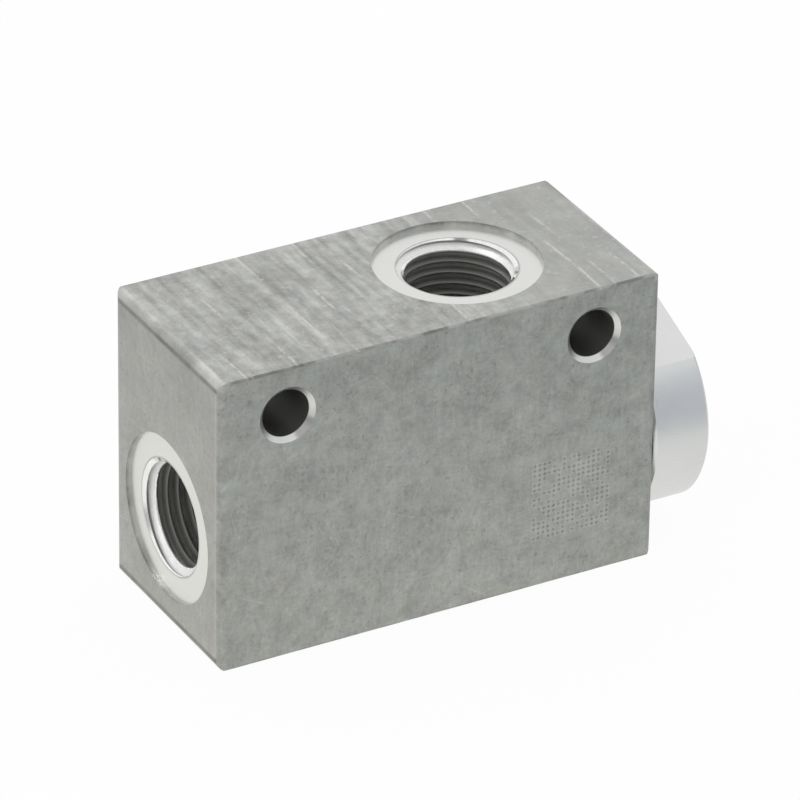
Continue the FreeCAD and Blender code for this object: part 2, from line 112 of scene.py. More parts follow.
class BlockFinish(bpy.types.PropertyGroup):
    """The tumbled raw finish of the block."""

    top: bpy.props.FloatVectorProperty(
        name="Top", description="Colour of the drawn top and bottom", subtype="COLOR",
        default=(0.410, 0.415, 0.400), min=0, max=1)
    side: bpy.props.FloatVectorProperty(
        name="Side", description="Colour of the mottled front and back", subtype="COLOR",
        default=(0.392, 0.402, 0.384), min=0, max=1)
    end: bpy.props.FloatVectorProperty(
        name="End", description="Colour of the sawn ends", subtype="COLOR",
        default=(0.390, 0.390, 0.376), min=0, max=1)
    # The bright colour below also paints highlights on the block's rounded edges, and the dark
    # colour paints shade there and on the spotface walls.
    worn_and_lit: bpy.props.FloatVectorProperty(
        name="Worn", description="Colour of the bright scratches and worn edges", subtype="COLOR",
        default=(0.62, 0.62, 0.60), min=0, max=1)
    dirt_and_shade: bpy.props.FloatVectorProperty(
        name="Dirt", description="Colour of the dark specks and the dirt along the edges",
        subtype="COLOR", default=(0.13, 0.13, 0.12), min=0, max=1)
    faced: bpy.props.FloatVectorProperty(
        name="Faced", description="Colour of the cut rings round the ports",
        subtype="COLOR", default=(0.72, 0.725, 0.70), min=0, max=1)
    drilled: bpy.props.FloatVectorProperty(
        name="Drilled", description="Colour of the drilled walls", subtype="COLOR",
        default=(0.36, 0.36, 0.35), min=0, max=1)


class StageSettings(bpy.types.PropertyGroup):
    """The camera and the lamps."""

    azimuth: bpy.props.FloatProperty(
        name="Azimuth", description="Where the camera stands, round the valve",
        default=math.radians(-29.36), unit="ROTATION")
    elevation: bpy.props.FloatProperty(
        name="Elevation", description="Height of the camera above the horizon",
        default=math.radians(29.70), unit="ROTATION")
    roll: bpy.props.FloatProperty(
        name="Roll", description="Turn of the camera about its own axis",
        default=math.radians(0.91), unit="ROTATION")
    distance: bpy.props.FloatProperty(
        name="Distance", description="From the camera to the point that it looks at",
        default=0.7896, unit="LENGTH")
    aim: bpy.props.FloatVectorProperty(
        name="Aim", description="The point that the camera looks at", subtype="TRANSLATION",
        default=(1.795 * MM, 0.378 * MM, 19.594 * MM), unit="LENGTH", precision=5)
    lens: bpy.props.FloatProperty(
        name="Lens", description="Focal length on a sensor 36 mm wide", default=330.66)
    top_power: bpy.props.FloatProperty(
        name="Top power", description="Power of the softbox overhead",
        default=2.5, unit="POWER")
    left_power: bpy.props.FloatProperty(
        name="Left power", description="Power of the softbox on the left",
        default=2.0, unit="POWER")
    glint_power: bpy.props.FloatProperty(
        name="Glint power", description="Power of each small lamp that only glints in the metal",
        default=1.5, unit="POWER")


def start_clean():
    """Object mode with nothing selected, so that an operator acts on its own piece only."""
    if bpy.context.object and bpy.context.object.mode != "OBJECT":
        bpy.ops.object.mode_set(mode="OBJECT")
    bpy.ops.object.select_all(action="DESELECT")


def pick(obj):
    """Makes one object the active and only selected one."""
    start_clean()
    bpy.context.view_layer.objects.active = obj
    obj.select_set(True)


def apply_modifier(obj, kind, **settings):
    """Adds a modifier, sets it up and applies it."""
    pick(obj)
    modifier = obj.modifiers.new(kind.title(), kind)
    for key, value in settings.items():
        setattr(modifier, key, value)
    bpy.ops.object.modifier_apply(modifier=modifier.name)


# Where a Mix node keeps its two inputs and its output, for each kind of data.
MIX_SOCKETS = {"RGBA": (6, 7, 2), "FLOAT": (2, 3, 0)}


class NodePen:
    """Adds and wires shader nodes in one tree."""

    def __init__(self, tree):
        self.tree = tree

    def feed(self, socket, value):
        """Links a socket, or sets its value; a colour may leave out its alpha."""
        if isinstance(value, bpy.types.NodeSocket):
            self.tree.links.new(value, socket)
        elif hasattr(value, "__len__"):
            socket.default_value = (*value, 1.0)[:len(socket.default_value)]
        else:
            socket.default_value = value

    def add(self, kind, settings=None, **inputs):
        """A node with its settings, and its inputs given as values or as sockets."""
        node = self.tree.nodes.new(kind)
        for key, value in (settings or {}).items():
            setattr(node, key, value)
        for key, value in inputs.items():
            self.feed(node.inputs[key.replace("_", " ")], value)
        return node

    def place(self, name, **inputs):
        """The outputs of a shared effect, placed with its own values."""
        return self.add("ShaderNodeGroup", {"node_tree": shared(name)}, **inputs).outputs

    def work(self, kind, operation, first, second):
        """The outputs of a Math or Vector Math node."""
        node = self.add(kind, {"operation": operation})
        self.feed(node.inputs[0], first)
        self.feed(node.inputs[1], second)
        return node.outputs

    def math(self, operation, first, second=0.0):
        """The result of a Math node."""
        return self.work("ShaderNodeMath", operation, first, second)[0]

    def plus(self, first, second):
        return self.math("ADD", first, second)

    def minus(self, first, second):
        return self.math("SUBTRACT", first, second)

    def times(self, first, second):
        return self.math("MULTIPLY", first, second)

    def over(self, first, second):
        return self.math("DIVIDE", first, second)

    def size(self, value):
        return self.math("ABSOLUTE", value)

    def above(self, value, limit):
        """1 where the value is above the limit, and 0 elsewhere."""
        return self.math("GREATER_THAN", value, limit)

    def ramp(self, value, start, end, low=0.0, high=1.0):
        """A smooth ramp from low, where the value is at start, to high, where it is at end."""
        node = self.add("ShaderNodeMapRange", {"interpolation_type": "SMOOTHSTEP"},
                        Value=value, From_Min=start, From_Max=end, To_Min=low, To_Max=high)
        return node.outputs["Result"]

    def swing(self, value, amount):
        """A noise value as a tone that swings about 1."""
        node = self.add("ShaderNodeMapRange", Value=value, To_Min=1 - amount, To_Max=1 + amount)
        return node.outputs["Result"]

    def sway(self, value, amount):
        """A noise value as a number that swings about 0."""
        return self.times(self.minus(value, 0.5), amount)

    def between(self, kind, factor, first, second):
        """The result of a Mix node for one kind of data."""
        node = self.add("ShaderNodeMix", {"data_type": kind})
        first_at, second_at, result_at = MIX_SOCKETS[kind]
        self.feed(node.inputs[0], factor)
        self.feed(node.inputs[first_at], first)
        self.feed(node.inputs[second_at], second)
        return node.outputs[result_at]

    def mix(self, factor, first, second):
        """A colour between two others."""
        return self.between("RGBA", factor, first, second)

    def blend(self, factor, first, second):
        """A number between two others."""
        return self.between("FLOAT", factor, first, second)

    def lay(self, under, over, mask, strength):
        """A colour with another laid over it, as strongly as a mask times a strength."""
        return self.mix(self.times(mask, strength), under, over)

    def tone(self, colour, *tones):
        """A colour or vector times each of the tones."""
        for tone in tones:
            node = self.add("ShaderNodeVectorMath", {"operation": "SCALE"},
                            Vector=colour, Scale=tone)
            colour = node.outputs[0]
        return colour

    def stain(self, colour, filter_colour):
        """A colour seen through a filter."""
        return self.work("ShaderNodeVectorMath", "MULTIPLY", colour, filter_colour)[0]

    def split(self, vector):
        """The three parts of a vector."""
        return self.add("ShaderNodeSeparateXYZ", Vector=vector).outputs

    def join(self, x, y, z=0.0):
        """A vector from three parts."""
        return self.add("ShaderNodeCombineXYZ", X=x, Y=y, Z=z).outputs[0]

    def length(self, x, y):
        """The length of a vector of two parts."""
        return self.math("SQRT", self.plus(self.times(x, x), self.times(y, y)))

    def noise(self, vector, scale, detail=2.0, roughness=0.5):
        """A noise value about 0.5."""
        return self.add("ShaderNodeTexNoise", Vector=vector, Scale=scale, Detail=detail,
                        Roughness=roughness).outputs["Fac"]


def new_group(name, inputs, outputs):
    """An empty shader group, its pen, and its input and output sockets by name."""
    group = bpy.data.node_groups.new(name, "ShaderNodeTree")
    for label, default in inputs.items():
        kind = "NodeSocketVector" if default is None else "NodeSocketFloat"
        socket = group.interface.new_socket(name=label, in_out="INPUT", socket_type=kind)
        if default is not None:
            socket.default_value = default
    for label in outputs:
        group.interface.new_socket(name=label, in_out="OUTPUT", socket_type="NodeSocketFloat")
    pen = NodePen(group)
    entry = pen.add("NodeGroupInput").outputs
    leave = pen.add("NodeGroupOutput").inputs
    return group, pen, entry, leave


def drawn_streaks_group():
    """Streaks of a drawn or milled face: X across them, Y along them, all in millimetres."""
    sizes = {"Vector": None, "Width": 0.6, "Length": 8.0, "Wander": 0.8, "Line Width": 0.12}
    group, pen, entry, leave = new_group("drawn_streaks", sizes, ["Streaks", "Lines"])
    across, along, layer = pen.split(entry["Vector"])
    slow = pen.join(pen.times(across, 0.06), pen.times(along, 0.07), layer)
    across = pen.plus(across, pen.sway(pen.noise(slow, 1.0, 1.0), entry["Wander"]))
    lane = pen.over(across, entry["Width"])
    run = pen.over(along, entry["Length"])
    pen.feed(leave["Streaks"], pen.noise(pen.join(lane, run, layer), 1.0, 3.0, 0.5))
    lane_density = 0.4
    lines = pen.add("ShaderNodeTexVoronoi", {"voronoi_dimensions": "1D"},
                    W=pen.times(lane, lane_density), Scale=1.0).outputs
    offset = pen.times(pen.split(lines["Color"])[0], 37.0)
    present = pen.noise(pen.join(pen.plus(run, offset), offset, layer), 1.0, 1.0)
    quick = pen.join(pen.times(across, 2.5), pen.times(along, 1.3), layer)
    ragged = pen.noise(quick, 1.0, 3.0, 0.6)
    line_away = pen.times(lines["Distance"], pen.times(entry["Width"], 1 / lane_density))
    thin = pen.times(pen.ramp(pen.over(line_away, entry["Line Width"]), 1.0, 0.35),
                     pen.ramp(ragged, 0.36, 0.56))
    pen.feed(leave["Lines"], pen.times(thin, pen.ramp(present, 0.51, 0.60)))
    return group


def stray_scratches_group():
    """Single thin scratches, each at its own angle, in the plane of X and Y in millimetres."""
    sizes = {"Vector": None, "Spacing": 4.0, "Reach": 2.0, "Width": 0.08}
    group, pen, entry, leave = new_group("stray_scratches", sizes, ["Scratches"])
    x, y, layer = pen.split(entry["Vector"])
    spacing = entry["Spacing"]
    shifted = pen.plus(x, pen.times(layer, 3.7))
    place = pen.join(pen.over(shifted, spacing), pen.over(y, spacing))
    cells = pen.add("ShaderNodeTexVoronoi", {"voronoi_dimensions": "2D"},
                    Vector=place, Scale=1.0).outputs
    offset = pen.work("ShaderNodeVectorMath", "SUBTRACT", place, cells["Position"])[0]
    angle, curve, present = pen.split(cells["Color"])
    turned = pen.add("ShaderNodeVectorRotate", {"rotation_type": "Z_AXIS"}, Vector=offset,
                     Angle=pen.times(angle, 2 * math.pi))
    across, along, _ = pen.split(turned.outputs[0])
    along = pen.times(pen.size(along), spacing)
    bow = pen.times(pen.sway(curve, 0.12), pen.times(along, along))
    across = pen.size(pen.plus(pen.times(across, spacing), bow))
    thin = pen.ramp(pen.over(across, entry["Width"]), 1.0, 0.3)
    short = pen.ramp(pen.over(along, entry["Reach"]), 1.0, 0.5)
    pen.feed(leave["Scratches"], pen.times(pen.times(thin, short), pen.above(present, 0.35)))
    return group


def grain_group():
    """Cloudy patches, fine grain and small dark specks, in millimetres."""
    sizes = {"Vector": None, "Patch": 4.0, "Grain": 0.35}
    group, pen, entry, leave = new_group(
        "metal_grain", sizes, ["Cloud", "Grain", "Specks", "Tint"])
    vector = entry["Vector"]
    patch = pen.over(1.0, entry["Patch"])
    grain = pen.over(1.0, entry["Grain"])
    pen.feed(leave["Cloud"], pen.noise(vector, patch, 3.0, 0.6))
    pen.feed(leave["Grain"], pen.noise(vector, grain, 3.0, 0.6))
    pen.feed(leave["Tint"], pen.noise(vector, pen.times(patch, 1.7), 2.0, 0.5))
    gate = pen.ramp(pen.noise(vector, pen.times(patch, 0.6), 1.0), 0.35, 0.6, 0.0, 0.06)
    specks = pen.noise(vector, pen.times(grain, 0.75), 1.0, 0.4)
    pen.feed(leave["Specks"], pen.ramp(pen.plus(specks, gate), 0.70, 0.78))
    return group


def turning_group():
    """Fine tool lines that follow a radius or a length, in millimetres."""
    group, pen, entry, leave = new_group("turning_lines", {"Along": 0.0, "Feed": 0.12}, ["Lines"])
    turns = pen.over(entry["Along"], entry["Feed"])
    pen.feed(leave["Lines"], pen.noise(pen.join(turns, 0.0), 1.0, 2.0, 0.7))
    return group


def edge_group():
    """Bright wear and dark grime near an edge, by the distance from it in millimetres."""
    sizes = {"Vector": None, "Distance": 1.0, "Reach": 0.3}
    group, pen, entry, leave = new_group("edge_marks", sizes, ["Wear", "Dirt"])
    near = pen.over(entry["Distance"], entry["Reach"])
    patchy = pen.noise(entry["Vector"], 1.6, 3.0, 0.6)
    drift = pen.noise(entry["Vector"], 0.33, 2.0, 0.5)
    level = pen.plus(patchy, drift)
    pen.feed(leave["Wear"], pen.times(pen.ramp(near, 1.0, 0.2), pen.ramp(level, 0.95, 1.2)))
    pen.feed(leave["Dirt"], pen.times(pen.ramp(near, 1.3, 0.5), pen.ramp(level, 1.1, 0.8)))
    return group


BUILDERS = {
    "streaks": drawn_streaks_group,
    "scratches": stray_scratches_group,
    "grain": grain_group,
    "turning": turning_group,
    "edges": edge_group,
}
GROUPS = {}


def shared(name):
    """One of the shared effects, built the first time that it is asked for."""
    if name not in GROUPS:
        GROUPS[name] = BUILDERS[name]()
    return GROUPS[name]


def emptied_tree(owner):
    """The pen for the node tree of a new material or world."""
    owner.use_nodes = True
    owner.node_tree.nodes.clear()
    return NodePen(owner.node_tree)


def new_material(name):
    """A material with an empty tree, its pen and its Principled shader."""
    material = bpy.data.materials.new(name)
    pen = emptied_tree(material)
    shader = pen.add("ShaderNodeBsdfPrincipled")
    pen.add("ShaderNodeOutputMaterial", Surface=shader.outputs[0])
    return material, pen, shader


def surface(pen):
    """The place on the object in millimetres, and its normal."""
    outputs = pen.add("ShaderNodeTexCoord").outputs
    return pen.tone(outputs["Object"], 1 / MM), outputs["Normal"]


def add_bump(pen, shader, height, depth):
    """Fine relief from a height that goes from 0 to 1, with its depth in millimetres."""
    bump = pen.add("ShaderNodeBump", Height=height, Distance=depth * MM, Strength=1.0)
    pen.feed(shader.inputs["Normal"], bump.outputs[0])


def finish_node(node, material):
    """Gives a CAD node one material in all its slots."""
    obj = NODES[node]
    if not obj.material_slots:
        obj.data.materials.append(material)
    for slot in obj.material_slots:
        slot.material = material


def rounded_outline(pen, first, second, corner):
    """How far a point lies inside a rounded corner, by its distances from the two flat faces."""
    beyond_first = pen.math("MAXIMUM", pen.minus(corner, first), 0.0)
    beyond_second = pen.math("MAXIMUM", pen.minus(corner, second), 0.0)
    flat = pen.math("MAXIMUM", pen.minus(pen.math("MINIMUM", first, second), corner), 0.0)
    return pen.plus(pen.minus(corner, pen.length(beyond_first, beyond_second)), flat)


def axis_radius(pen, y, z):
    """The distance from the axis that the inlet, the shuttle and the cap share."""
    return pen.length(y, pen.minus(z, PORT_HEIGHT))


def dot_field(pen, x, y, z):
    """A square of small punched dots, low on the right of the front face, and their rims.

    The pitch and the square's place are in millimetres, and radii are shares of the pitch.
    """
    pitch, columns = 0.605, 16
    left, low = 11.25, 5.7
    front_skin = 0.1
    dot_radius = 0.32
    kept_above = 0.68
    column = pen.over(pen.minus(x, left), pitch)
    row = pen.over(pen.minus(z, low), pitch)
    inside = pen.above(front_skin - HALF_WIDTH, y)
    for count in (column, row):
        inside = pen.times(inside, pen.times(pen.above(count, 0.0), pen.above(columns, count)))
    away = pen.length(pen.minus(pen.math("FRACT", column), 0.5),
                      pen.minus(pen.math("FRACT", row), 0.5))
    cell = pen.join(pen.math("FLOOR", column), pen.math("FLOOR", row))
    chance = pen.add("ShaderNodeTexWhiteNoise", {"noise_dimensions": "2D"}, Vector=cell)
    patchy = pen.noise(cell, 0.45, 1.0)
    level = pen.plus(pen.times(chance.outputs["Value"], 0.5), patchy)
    kept = pen.times(inside, pen.above(level, kept_above))
    dots = pen.times(kept, pen.ramp(away, dot_radius, 0.12))
    rims = pen.times(kept, pen.ramp(away, dot_radius, 0.46))
    return dots, rims


def port_gap(pen, x, y, z):
    """How far a point lies outside the thread of the nearest port, across that port's axis."""
    outlet = pen.length(pen.minus(x, OUTLET_X), y)
    radius = pen.blend(pen.above(z, OUTLET_LOW), axis_radius(pen, y, z), outlet)
    return pen.minus(radius, THREAD_RADIUS)


def edge_wear_and_painted_light(pen, skin, finish, place, end_depth, side_depth, top_depth):
    """A skin with wear along the block's edges, and painted highlights and painted shade on its
    rounded edges.
    """
    ragged = pen.sway(pen.noise(place, 0.9, 3.0, 0.6), 0.9)
    patchy = pen.noise(place, 0.28, 3.0, 0.6)
    drift = pen.noise(place, 0.16, 1.0)
    on_end_skin = pen.ramp(end_depth, 0.10, 0.04)
    # Masks for the painted highlights and shade laid below, and for the wear along the long edges.
    shoulder_highlight_and_shade = pen.times(pen.ramp(pen.plus(end_depth, ragged), CORNER, 0.55 * CORNER),
                         pen.ramp(top_depth, CORNER, 0.8 * CORNER))
    upright_shade = pen.times(pen.ramp(end_depth, CORNER, 0.6 * CORNER),
                        pen.ramp(side_depth, CORNER, 0.6 * CORNER))
    from_seam = pen.size(pen.minus(top_depth, 0.98 * CORNER))
    seam_shade = pen.times(pen.ramp(from_seam, 0.46, 0.10), on_end_skin)
    from_upright = pen.size(pen.minus(side_depth, 0.8 * CORNER))
    upright_highlight = pen.times(pen.ramp(from_upright, 0.25, 0.08), on_end_skin)
    long_edge_wear_and_shade = pen.ramp(pen.math("MAXIMUM", side_depth, top_depth), 0.30, 0.17)
    worn_and_lit, dirt_and_shade = finish.worn_and_lit, finish.dirt_and_shade
    # Painted highlight, then painted shade, on the rounding between each end and the top or bottom.
    skin = pen.lay(skin, worn_and_lit, shoulder_highlight_and_shade, pen.ramp(drift, 0.38, 0.66, 0.05, 0.50))
    skin = pen.lay(skin, dirt_and_shade, shoulder_highlight_and_shade, pen.ramp(drift, 0.56, 0.34, 0.0, 0.20))
    # Painted shade on the rounded upright corners, and a painted highlight line on each end beside
    # them.
    skin = pen.lay(skin, dirt_and_shade, upright_shade, pen.ramp(patchy, 0.60, 0.40, 0.0, 0.22))
    skin = pen.lay(skin, worn_and_lit, upright_highlight, 0.22)
    # A painted line of shade on each end, where the rounding to the top or bottom begins.
    skin = pen.lay(skin, dirt_and_shade, seam_shade, pen.ramp(patchy, 0.30, 0.60, 0.75, 0.50))
    # Wear, then a painted dark line of shade, along the long edges.
    skin = pen.lay(skin, worn_and_lit, long_edge_wear_and_shade, pen.ramp(patchy, 0.45, 0.62, 0.0, 0.4))
    return pen.lay(skin, dirt_and_shade, long_edge_wear_and_shade, pen.ramp(patchy, 0.60, 0.42, 0.22, 0.60))


def cut_faces(pen, finish, place, normal, depth, cloud):
    """The colours of what was cut into the block: round its ports and in its cross holes, with
    painted shade on the spotface walls, round the mouth of each thread and on one side of each
    cross hole's bevel.
    """
    x, y, z = pen.split(place)
    face_x, _, face_z = pen.split(normal)
    in_outlet = pen.above(z, HEIGHT - OUTLET_FACES)
    port_normal = pen.blend(in_outlet, pen.size(face_x), pen.size(face_z))
    spotface_wall = pen.times(pen.ramp(port_normal, 0.5, 0.2), pen.above(SPOTFACE_DEPTH, depth))
    # Painted shade on the spotface walls: the dark colour mixed in most near the face, in patches.
    wall_shade = pen.plus(pen.ramp(depth, 0.0, 0.6, 0.38, 0.75), pen.sway(cloud, 1.0))
    # Painted shade on a narrow ring round the mouth of each thread.
    lip_shade = pen.ramp(port_gap(pen, x, y, z), 0.22, 0.14, 0.0, 0.35)
    inner = pen.mix(lip_shade, finish.faced, finish.drilled)
    inner = pen.mix(spotface_wall, inner, pen.mix(wall_shade, finish.dirt_and_shade, finish.faced))
    hole_x = pen.minus(x, pen.times(pen.math("SIGN", x), HOLE_X))
    hole_z = pen.minus(z, HOLE_Z)
    hole = pen.length(hole_x, hole_z)
    # Painted shade: each cross hole's bevel turns nearly to the drilled colour on its lower side
    # towards +X.
    shaded_sector = pen.over(pen.times(pen.minus(hole_x, hole_z), math.sqrt(0.5)), hole)
    bevel = pen.mix(pen.ramp(shaded_sector, 0.86, 0.96, 0.0, 0.85), finish.faced, finish.drilled)
    inner = pen.mix(pen.above(HOLE_RADIUS + BEVEL, hole), inner, bevel)
    return pen.mix(pen.above(HOLE_RADIUS + ON_WALL, hole), inner, finish.drilled)


def block_material(finish):
    """Raw tumbled aluminium: streaked top, mottled sides, bright faces round the ports."""
    material, pen, shader = new_material("tumbled_block")
    place, normal = surface(pen)
    x, y, z = pen.split(place)
    face_x, _, face_z = pen.split(normal)
    on_top = pen.above(pen.size(face_z), BLOCK_FACING)
    on_end = pen.above(pen.size(face_x), BLOCK_FACING)

    def by_face(side, top, end, choose=pen.blend):
        """The number that belongs to the face, or the colour or vector, with pen.mix."""
        return choose(on_end, choose(on_top, side, top), end)

    face = by_face(pen.join(x, z, y), pen.join(x, y, z), pen.join(y, z, x), pen.mix)
    across, along, layer = pen.split(face)
    crossed = pen.join(along, across, layer)
    grain = pen.place("grain", Vector=place, Patch=5.0, Grain=0.35)
    blotch = pen.place("grain", Vector=place, Patch=1.6, Grain=0.75)
    top = pen.place("streaks", Vector=face, Width=1.1, Length=13.0, Wander=1.2, Line_Width=0.24)
    top_fine = pen.place("streaks", Vector=face, Width=0.5, Length=2.2, Wander=0.8,
                         Line_Width=0.1)
    side = pen.place("streaks", Vector=face, Width=0.5, Length=1.3, Wander=0.5, Line_Width=0.09)
    side_cross = pen.place("streaks", Vector=crossed, Width=0.4, Length=1.1, Wander=0.5)
    stray = pen.place("scratches", Vector=face, Spacing=6.0, Reach=2.3, Width=0.09)
    stray_small = pen.place("scratches", Vector=crossed, Spacing=2.2, Reach=0.8, Width=0.09)

    top_lines = pen.plus(pen.sway(top["Streaks"], 1.05), pen.sway(top_fine["Streaks"], 0.28))
    top_lines = pen.times(pen.ramp(x, CALM_X, ROUGH_X, 0.30, 1.0), top_lines)
    top_tone = pen.times(pen.swing(pen.noise(place, 0.14, 2.0), 0.22), pen.plus(1.0, top_lines))
    side_lines = pen.plus(pen.sway(side["Streaks"], 0.30), pen.sway(side_cross["Streaks"], 0.18))
    side_tone = pen.times(pen.swing(grain["Cloud"], 0.18), pen.plus(1.0, side_lines))
    end_tone = pen.times(pen.swing(pen.noise(place, 0.12, 3.0), 0.24),
                         pen.swing(side["Streaks"], 0.10))
    patches = pen.plus(pen.sway(blotch["Cloud"], by_face(0.60, 0.75, 0.25)),
                       pen.sway(grain["Grain"], 0.50))
    patches = pen.times(patches, pen.blend(on_top, 1.0, pen.ramp(x, CALM_X, ROUGH_X, 0.40, 1.0)))
    skin = by_face(finish.side, finish.top, finish.end, pen.mix)
    skin = pen.tone(skin, by_face(side_tone, top_tone, end_tone), pen.plus(1.0, patches))
    tint = pen.mix(pen.ramp(blotch["Tint"], 0.35, 0.65),
                   (0.985, 1.005, 1.01), (1.015, 1.0, 0.98))
    skin = pen.stain(skin, tint)

    worn_and_lit, dirt_and_shade = finish.worn_and_lit, finish.dirt_and_shade
    flecks = pen.ramp(blotch["Grain"], 0.60, 0.70)
    lines = pen.blend(on_top, side["Lines"], top["Lines"])
    dots, rims = dot_field(pen, x, y, z)
    skin = pen.lay(skin, dirt_and_shade, grain["Specks"], pen.blend(on_top, 0.26, 0.08))
    skin = pen.lay(skin, worn_and_lit, flecks, by_face(0.26, 0.38, 0.08))
    skin = pen.lay(skin, worn_and_lit, lines, pen.blend(on_top, 0.20, 0.75))
    skin = pen.lay(skin, worn_and_lit, stray["Scratches"], 0.24)
    skin = pen.lay(skin, worn_and_lit, stray_small["Scratches"], 0.20)
    skin = pen.lay(skin, worn_and_lit, rims, 0.30)
    skin = pen.lay(skin, dirt_and_shade, dots, 0.38)

    end_depth = pen.minus(HALF_LENGTH, pen.size(x))
    side_depth = pen.minus(HALF_WIDTH, pen.size(y))
    top_depth = pen.minus(HEIGHT / 2, pen.size(pen.minus(z, HEIGHT / 2)))
    # Wear, painted highlights and painted shade along the block's edges.
    skin = edge_wear_and_painted_light(pen, skin, finish, place, end_depth, side_depth, top_depth)
    depth = pen.math("MINIMUM", rounded_outline(pen, end_depth, top_depth, CORNER),
                     rounded_outline(pen, end_depth, side_depth, CORNER))
    depth = pen.math("MINIMUM", depth, rounded_outline(pen, side_depth, top_depth, LONG_CORNER))
    cut = pen.above(depth, CUT_DEPTH)
    inner = cut_faces(pen, finish, place, normal, depth, blotch["Cloud"])
    pen.feed(shader.inputs["Base Color"], pen.mix(cut, skin, inner))
    shader.inputs["Metallic"].default_value = 0.85
    rough = pen.blend(cut, pen.ramp(grain["Grain"], 0.3, 0.7, 0.46, 0.56), 0.30)
    pen.feed(shader.inputs["Roughness"], rough)
    side_relief = pen.times(pen.plus(side["Streaks"], blotch["Grain"]), 0.5)
    relief = pen.minus(pen.blend(on_top, side_relief, top["Streaks"]), pen.times(dots, 1.5))
    add_bump(pen, shader, pen.blend(cut, relief, 0.5), 0.015)
    return material


class VALVE_OT_block_finish(bpy.types.Operator):
    """Gives the block its tumbled finish"""

    bl_idname = "valve.block_finish"
    bl_label = "Finish the block"

    def execute(self, context):
        finish_node("valve_body", block_material(context.scene.block_finish))
        return {"FINISHED"}


def turned_lines(pen, normal, along, radius, feed):
    """Tool lines of a turned piece: rings on its ends, and turns along its length."""
    face_x, _, _ = pen.split(normal)
    on_end = pen.above(pen.size(face_x), TURNED_FACING)
    return pen.place("turning", Along=pen.blend(on_end, along, radius), Feed=feed)["Lines"]


def cap_material():
    """Bright turned aluminium with fine tool lines and light wear on its edges."""
    material, pen, shader = new_material("turned_cap")
    place, normal = surface(pen)
    x, y, z = pen.split(place)
    radius = axis_radius(pen, y, z)
    lines = turned_lines(pen, normal, x, radius, 0.11)
    grain = pen.place("grain", Vector=place, Patch=6.0, Grain=0.3)
    stray = pen.place("scratches", Vector=pen.join(x, z, y), Spacing=3.0, Reach=1.2, Width=0.05)
    rim = pen.math("MAXIMUM", pen.minus(CAP_RADIUS, radius), pen.minus(CAP_FACE, x))
    edges = pen.place("edges", Vector=place, Reach=0.35, Distance=rim)
    colour = pen.tone((0.76, 0.765, 0.76), pen.swing(lines, 0.05), pen.swing(grain["Cloud"], 0.06))
    colour = pen.lay(colour, (0.55, 0.55, 0.55), stray["Scratches"], 0.25)
    colour = pen.lay(colour, (0.9, 0.9, 0.9), edges["Wear"], 0.4)
    pen.feed(shader.inputs["Base Color"], colour)
    shader.inputs["Metallic"].default_value = 1.0
    pen.feed(shader.inputs["Roughness"], pen.ramp(grain["Cloud"], 0.3, 0.7, 0.22, 0.32))
    add_bump(pen, shader, lines, 0.004)
    return material


class VALVE_OT_cap_finish(bpy.types.Operator):
    """Gives the exhaust cap its bright turned finish"""

    bl_idname = "valve.cap_finish"
    bl_label = "Finish the cap"

    def execute(self, context):
        finish_node("exhaust_cap", cap_material())
        return {"FINISHED"}


# Half of a crest's flat is this part of the pitch, and its corners are rounded by this share of it.
CREST_PART = 12
CREST_ROUNDING = 0.06
# The countersink's cutter reaches this far inside the crests, and this far out of the mouth.
CUTTER_INSIDE = 0.3 * MM
CUTTER_OUTSIDE = 0.1 * MM
# The countersink slopes by this, give or take, and the first thread ends this far down.
CONE_SLOPE = math.cos(math.radians(45))
SLOPE_SPREAD = 0.02
FIRST_THREAD = 1.3 * MM
SMOOTH_ANGLE = math.radians(32)


def ridge_section(sizes, root_radius):
    """The outline of one ridge, beside the axis, ready to be swept up the helix."""
    depth = root_radius - sizes.crest_radius
    crest_half = sizes.pitch / CREST_PART
    foot_half = crest_half + depth * math.tan(sizes.flank_angle)
    bpy.ops.mesh.primitive_plane_add(size=1, location=(0, 0, 0), rotation=(math.pi / 2, 0, 0))
    obj = bpy.context.object
    bpy.ops.object.transform_apply(location=True, rotation=True, scale=True)
    for vertex in obj.data.vertices:
        outer = vertex.co.x > 0
        half = foot_half if outer else crest_half
        radius = root_radius + sizes.wall_overlap if outer else sizes.crest_radius
        vertex.co = (radius, 0, math.copysign(half, vertex.co.z))
    bpy.ops.object.mode_set(mode="EDIT")
    bpy.ops.mesh.select_mode(type="VERT")
    bpy.ops.mesh.select_all(action="DESELECT")
    edit = bmesh.from_edit_mesh(obj.data)
    for vertex in edit.verts:
        vertex.select_set(vertex.co.x < root_radius)
    edit.select_flush_mode()
    bmesh.update_edit_mesh(obj.data)
    bpy.ops.mesh.bevel(offset=sizes.pitch * CREST_ROUNDING, segments=2, affect="VERTICES")
    bpy.ops.mesh.select_all(action="SELECT")
    bpy.ops.mesh.delete(type="ONLY_FACE")
    bpy.ops.object.mode_set(mode="OBJECT")
    return obj


